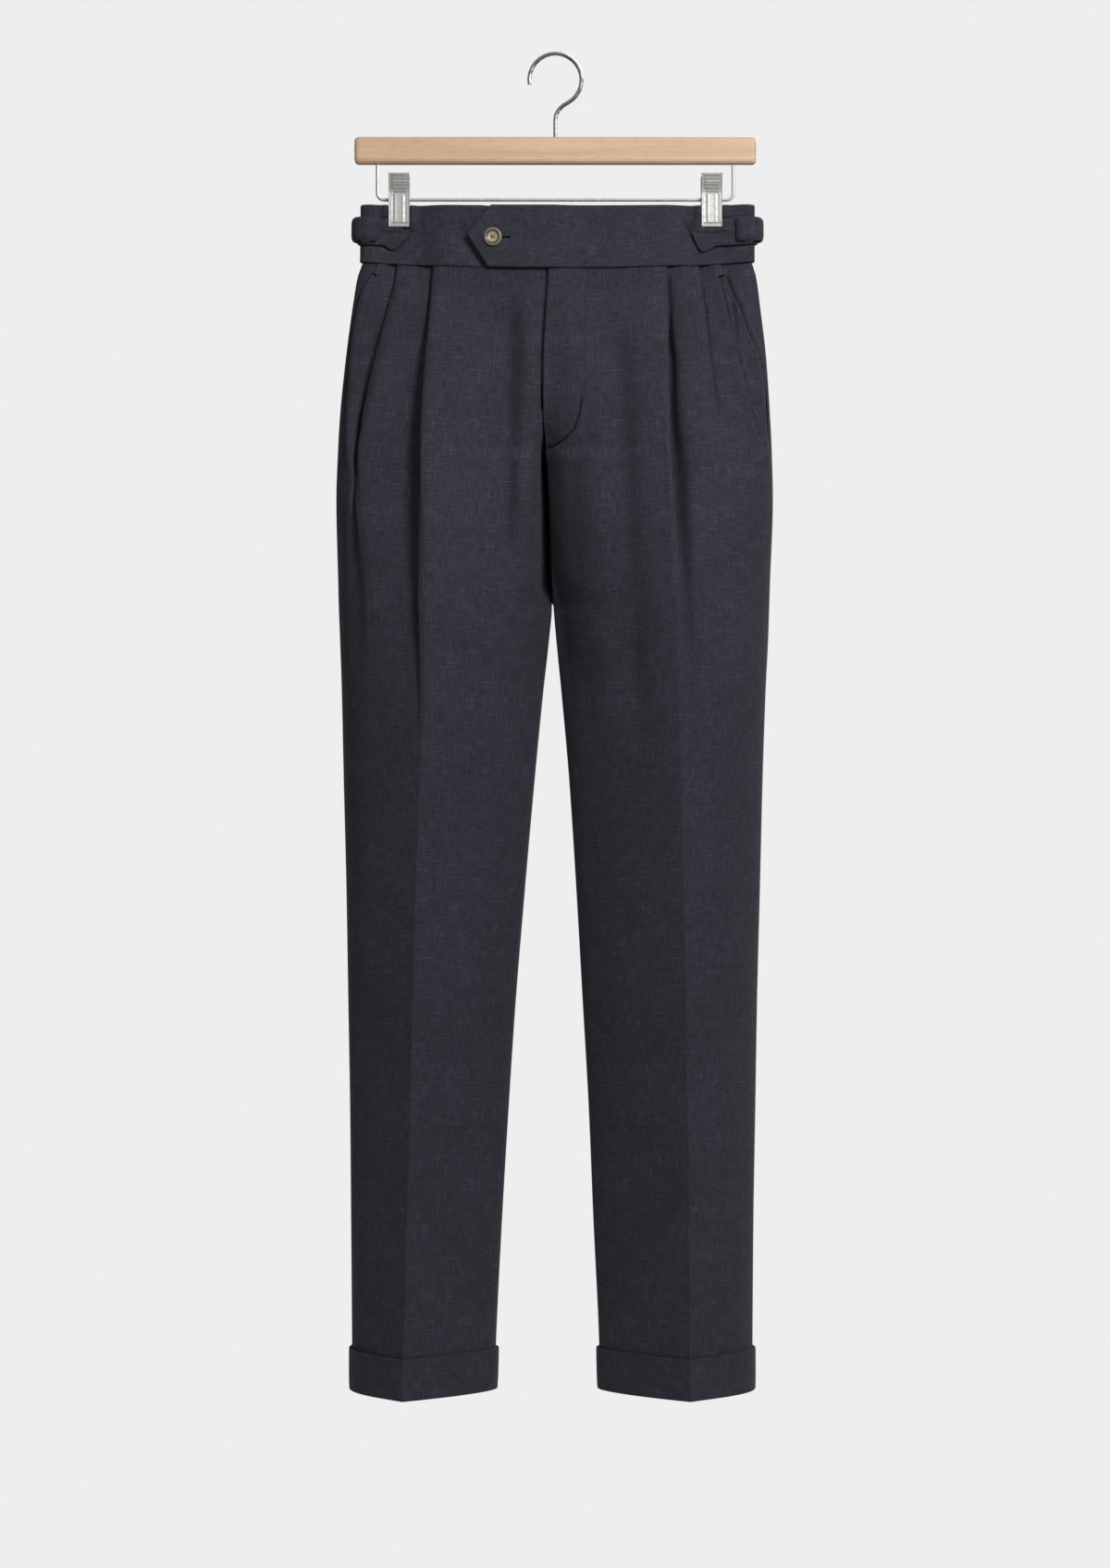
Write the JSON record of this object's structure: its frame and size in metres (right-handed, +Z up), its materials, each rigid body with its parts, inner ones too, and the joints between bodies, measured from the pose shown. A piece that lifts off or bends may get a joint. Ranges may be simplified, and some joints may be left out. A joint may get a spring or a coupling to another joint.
{
  "type": "pleated dress trousers on a clip hanger",
  "caption": "Pleated trousers with turned-up cuffs, side adjusters and a tab waistband, held flat at the waist by a wooden clip hanger.",
  "frame": {"origin": "inside of the hook's bend, at its top, where the hook sits on a rail", "axes": "+Z up, the front of the trousers faces -Y, the wearer's left is +X"},
  "size_m": [0.4015, 0.1628, 1.2279],
  "materials": {
    "cloth": "plain-woven dark slate navy linen with fine slubs, matt",
    "wood": "pale beech with a satin lacquer",
    "nickel": "satin nickel plate",
    "steel": "bright drawn steel wire",
    "horn": "polished brown horn with a paler middle"
  },
  "bodies": {
    "root": {"front_left": "cloth", "front_right": "cloth", "back_left": "cloth", "back_right": "cloth", "waistband_left": "cloth", "waistband_right": "cloth", "pocket_facing_left": "cloth", "pocket_facing_right": "cloth", "cuff_left": "cloth", "cuff_right": "cloth", "adjuster_strap_left": "cloth", "adjuster_strap_right": "cloth", "adjuster_loop_left": "cloth", "adjuster_loop_right": "cloth", "adjuster_buckle_left": "nickel", "adjuster_buckle_right": "nickel", "waist_button": "horn", "hanger_bar": "wood", "hanger_hook": "steel", "hanger_wire": "steel", "clip_left_front": "nickel", "clip_left_back": "nickel", "clip_left_spring": "steel", "clip_right_front": "nickel", "clip_right_back": "nickel", "clip_right_spring": "steel"}
  },
  "joints": []
}
